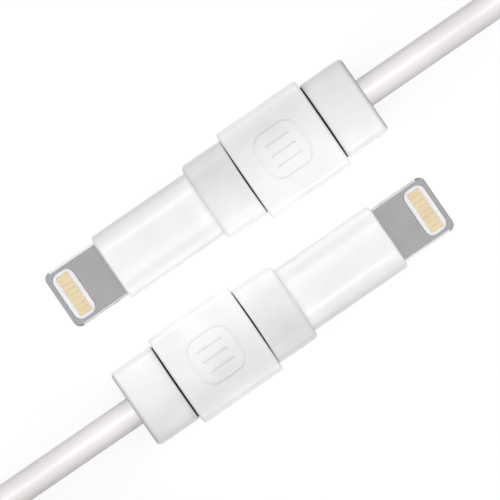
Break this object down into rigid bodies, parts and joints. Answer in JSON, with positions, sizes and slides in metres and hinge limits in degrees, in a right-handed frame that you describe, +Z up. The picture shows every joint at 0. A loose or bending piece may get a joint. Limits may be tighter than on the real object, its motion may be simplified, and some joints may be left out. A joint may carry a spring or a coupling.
{
  "type": "charging cable",
  "caption": "White charging cable with a flat eight-contact plug on each end, twist-lock cable protectors behind the boots, and the cord's middle folded into a tied hank.",
  "frame": {"origin": "on the surface the cable lies on, midway between the two plug ends (the bottom centre of everything except the free cord)", "axes": "+Z up from the surface; both plugs lie parallel, 34.5 degrees from +X towards +Y; +X is the long side of the pair of ends. End a lies on the +Y side with its plug towards -X, end b is end a turned half round +Z"},
  "size_m": [0.0758, 0.0889, 0.0175],
  "materials": {
    "steel": "fine satin",
    "steel_sheet": "plain sheet",
    "insert": "moulded",
    "gold_contact": "gold plated",
    "board": "solder mask",
    "chip": "moulded",
    "wire": "insulated wire",
    "boot_plastic": "smooth moulded",
    "protector_plastic": "soft satin moulded",
    "cord_jacket": "smooth soft jacket",
    "strap": "soft woven strap"
  },
  "bodies": {
    "cable": {"plug_shell_a": "steel", "contact_insert_a": "insert", "contacts_top_a": "gold_contact", "contacts_bottom_a": "gold_contact", "circuit_board_a": "board", "board_chips_a": "chip", "shield_can_a": "steel_sheet", "wire_tails_a": "wire", "crimp_ring_a": "steel_sheet", "boot_a": "boot_plastic", "strain_relief_a": "boot_plastic", "cord_end_a": "cord_jacket", "protector_body_a": "protector_plastic", "rear_collar_a": "protector_plastic", "plug_shell_b": "steel", "contact_insert_b": "insert", "contacts_top_b": "gold_contact", "contacts_bottom_b": "gold_contact", "circuit_board_b": "board", "board_chips_b": "chip", "shield_can_b": "steel_sheet", "wire_tails_b": "wire", "crimp_ring_b": "steel_sheet", "boot_b": "boot_plastic", "strain_relief_b": "boot_plastic", "cord_end_b": "cord_jacket", "protector_body_b": "protector_plastic", "rear_collar_b": "protector_plastic", "cord_a": "cord_jacket", "cord_b": "cord_jacket", "cord_hank": "cord_jacket", "hank_strap": "strap"},
    "sleeve_a": {"sleeve_a": "protector_plastic"},
    "sleeve_b": {"sleeve_b": "protector_plastic"}
  },
  "joints": [
    {"name": "sleeve_turn_a", "type": "hinge", "parent": "cable", "child": "sleeve_a", "pos_m": [0.0036, 0.0107, 0.00535], "axis": [-0.8241, -0.5664, 0], "range_deg": [0, 90]},
    {"name": "sleeve_turn_b", "type": "hinge", "parent": "cable", "child": "sleeve_b", "pos_m": [-0.0036, -0.0107, 0.00535], "axis": [0.8241, 0.5664, 0], "range_deg": [0, 90]}
  ]
}
